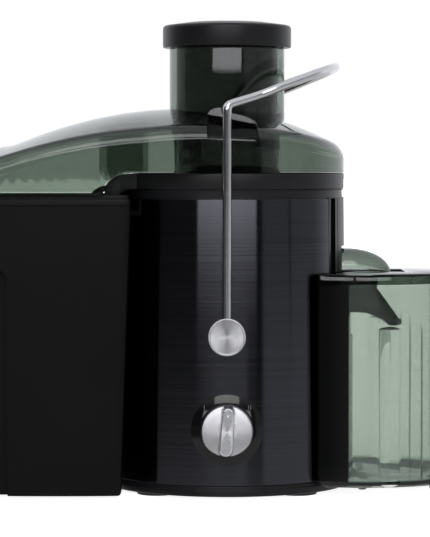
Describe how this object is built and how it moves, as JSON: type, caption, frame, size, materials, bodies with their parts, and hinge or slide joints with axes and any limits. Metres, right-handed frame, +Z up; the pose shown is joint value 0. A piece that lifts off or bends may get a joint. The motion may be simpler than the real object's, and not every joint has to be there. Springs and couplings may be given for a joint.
{
  "type": "centrifugal juicer",
  "caption": "Drum-shaped centrifugal juicer with clear smoky lid and feed tube, steel locking arm, dial, pulp bin on one side and clear juice jug on the other.",
  "frame": {"origin": "on the motor axis at table level, which is the bottom centre of the whole object's box", "axes": "+Z up along the motor axis, +X towards the juice jug, -X towards the pulp bin, -Y towards the dial"},
  "size_m": [0.397, 0.204, 0.3265],
  "materials": {
    "black_plastic": "satin black moulded plastic",
    "bin_plastic": "fine matt black moulded plastic",
    "dark_metal": "black brushed metal sheet, grain running round the drum",
    "smoky_lid": "smoky green clear plastic, polished",
    "smoky_jug": "light smoky green clear plastic, polished",
    "plunger_plastic": "glossy black moulded plastic",
    "gloss_black": "mirror-gloss black plastic",
    "polished_steel": "polished bent steel rod",
    "satin_chrome": "satin chrome",
    "sieve_steel": "stainless steel sieve",
    "machine_steel": "turned steel",
    "lamination": "stacked and stamped steel",
    "copper": "enamelled copper",
    "brass": "stamped brass",
    "carbon": "sintered carbon",
    "rubber": "soft black rubber",
    "switch_plastic": "dark moulded plastic",
    "bush_plastic": "natural white acetal"
  },
  "bodies": {
    "base": {"base_plate": "black_plastic", "housing_shell": "black_plastic", "wrap_panel": "dark_metal", "juice_collector": "black_plastic", "juice_spout": "smoky_lid", "dial_bezel": "gloss_black", "motor_stator": "lamination", "field_coil_front": "copper", "field_coil_rear": "copper", "lower_bracket": "lamination", "upper_bracket": "lamination", "lower_bearing": "machine_steel", "upper_bearing": "machine_steel", "brush_holder_front": "brass", "brush_holder_rear": "brass", "carbon_brush_front": "carbon", "carbon_brush_rear": "carbon", "shaft_seal": "rubber", "selector_switch": "switch_plastic", "arm_interlock_switch": "switch_plastic", "cord_gland": "rubber", "pivot_bush_front": "bush_plastic", "pivot_bush_rear": "bush_plastic", "foot_1": "rubber", "foot_2": "rubber", "foot_3": "rubber", "foot_4": "rubber", "damper_1": "rubber", "damper_2": "rubber", "damper_3": "rubber", "damper_4": "rubber", "base_screw_1": "machine_steel", "base_screw_2": "machine_steel", "base_screw_3": "machine_steel", "base_screw_4": "machine_steel"},
    "rotor": {"motor_shaft": "machine_steel", "armature_core": "lamination", "armature_winding_lower": "copper", "armature_winding_upper": "copper", "commutator": "copper", "cooling_fan": "switch_plastic", "drive_coupling": "bush_plastic", "filter_basket": "sieve_steel", "grater_disc": "sieve_steel"},
    "knob": {"control_knob": "satin_chrome"},
    "arm": {"locking_arm": "polished_steel", "arm_hub_front": "satin_chrome", "arm_hub_rear": "satin_chrome", "pivot_clip_front": "machine_steel", "pivot_clip_rear": "machine_steel"},
    "lid": {"lid": "smoky_lid"},
    "pusher": {"pusher_plunger": "plunger_plastic", "pusher_cap": "black_plastic"},
    "bin": {"pulp_bin": "bin_plastic"},
    "jug": {"jug": "smoky_jug", "foam_separator": "smoky_jug"},
    "jug_lid": {"jug_lid": "smoky_jug"}
  },
  "joints": [
    {"name": "rotor_spin", "type": "hinge", "parent": "base", "child": "rotor", "pos_m": [0, 0, 0.16], "axis": [0, 0, 1], "continuous": true},
    {"name": "knob_turn", "type": "hinge", "parent": "base", "child": "knob", "pos_m": [0, -0.095, 0.0476], "axis": [0, 1, 0], "range_deg": [-45, 45]},
    {"name": "arm_swing", "type": "hinge", "parent": "base", "child": "arm", "pos_m": [0, 0, 0.1106], "axis": [0, 1, 0], "range_deg": [0, 45]},
    {"name": "lid_lift", "type": "slide", "parent": "base", "child": "lid", "axis": [0, 0, 1], "range_m": [0, 0.024]},
    {"name": "pusher_lift", "type": "slide", "parent": "lid", "child": "pusher", "axis": [0, 0, 1], "range_m": [0, 0.1]},
    {"name": "bin_slide", "type": "slide", "parent": "base", "child": "bin", "axis": [-1, 0, 0], "range_m": [0, 0.12]},
    {"name": "jug_slide", "type": "slide", "parent": "base", "child": "jug", "axis": [1, 0, 0], "range_m": [0, 0.12]},
    {"name": "jug_lid_lift", "type": "slide", "parent": "jug", "child": "jug_lid", "axis": [0, 0, 1], "range_m": [0, 0.022]}
  ],
  "couplings": [
    {"joint": "lid_lift", "follows": "arm_swing", "m_per_rad": 0.03}
  ]
}
